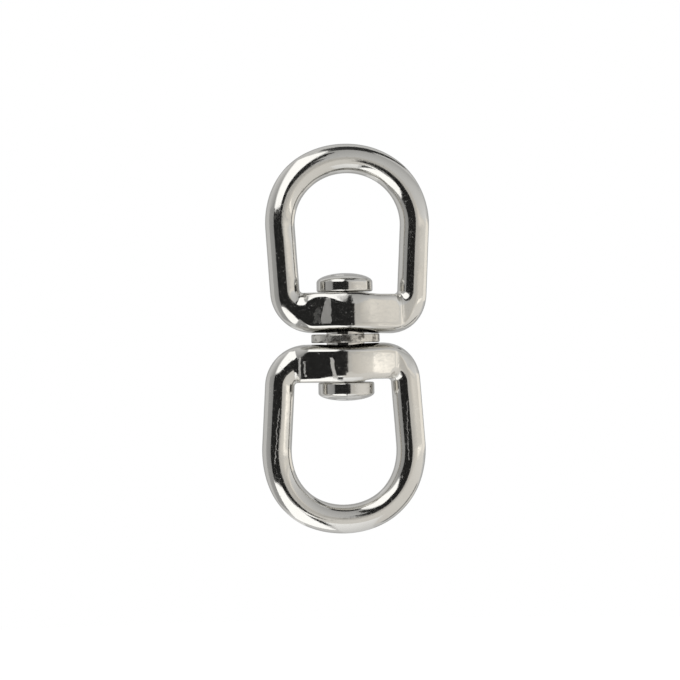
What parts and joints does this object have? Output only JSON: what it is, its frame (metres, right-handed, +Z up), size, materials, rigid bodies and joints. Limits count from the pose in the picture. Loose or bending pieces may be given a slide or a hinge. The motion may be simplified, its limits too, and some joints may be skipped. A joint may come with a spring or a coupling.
{
  "type": "anchor swivel",
  "caption": "Double-eye swivel for anchor chain: round-bar eyes set end to end on a riveted pin, each free to turn about the pin's axis without twisting the other.",
  "frame": {"origin": "the middle of the swivel, on the pin's axis half way between the two yokes, which is the centre of the part's box", "axes": "+Z up along the pin from the lower eye to the upper eye, +X to the right across the eyes, -Y the front that the picture shows"},
  "size_m": [0.0344, 0.0144, 0.0816],
  "materials": {
    "plated_eye": "bright nickel plate over forged steel, mirror-like and slightly wavy",
    "plated_pin": "bright nickel plate over turned steel",
    "plain_washer": "plain turned steel, duller and scuffed"
  },
  "bodies": {
    "upper_eye": {"upper_eye": "plated_eye"},
    "pin": {"swivel_pin": "plated_pin", "upper_collar": "plated_pin", "lower_collar": "plated_pin"},
    "lower_eye": {"lower_eye": "plated_eye"},
    "washer": {"thrust_washer": "plain_washer"}
  },
  "joints": [
    {"name": "pin_turn", "type": "hinge", "parent": "upper_eye", "child": "pin", "pos_m": [0, 0, 0], "axis": [0, 0, 1], "continuous": true},
    {"name": "lower_eye_turn", "type": "hinge", "parent": "pin", "child": "lower_eye", "pos_m": [0, 0, 0], "axis": [0, 0, 1], "continuous": true},
    {"name": "washer_turn", "type": "hinge", "parent": "pin", "child": "washer", "pos_m": [0, 0, 0], "axis": [0, 0, 1], "continuous": true}
  ]
}
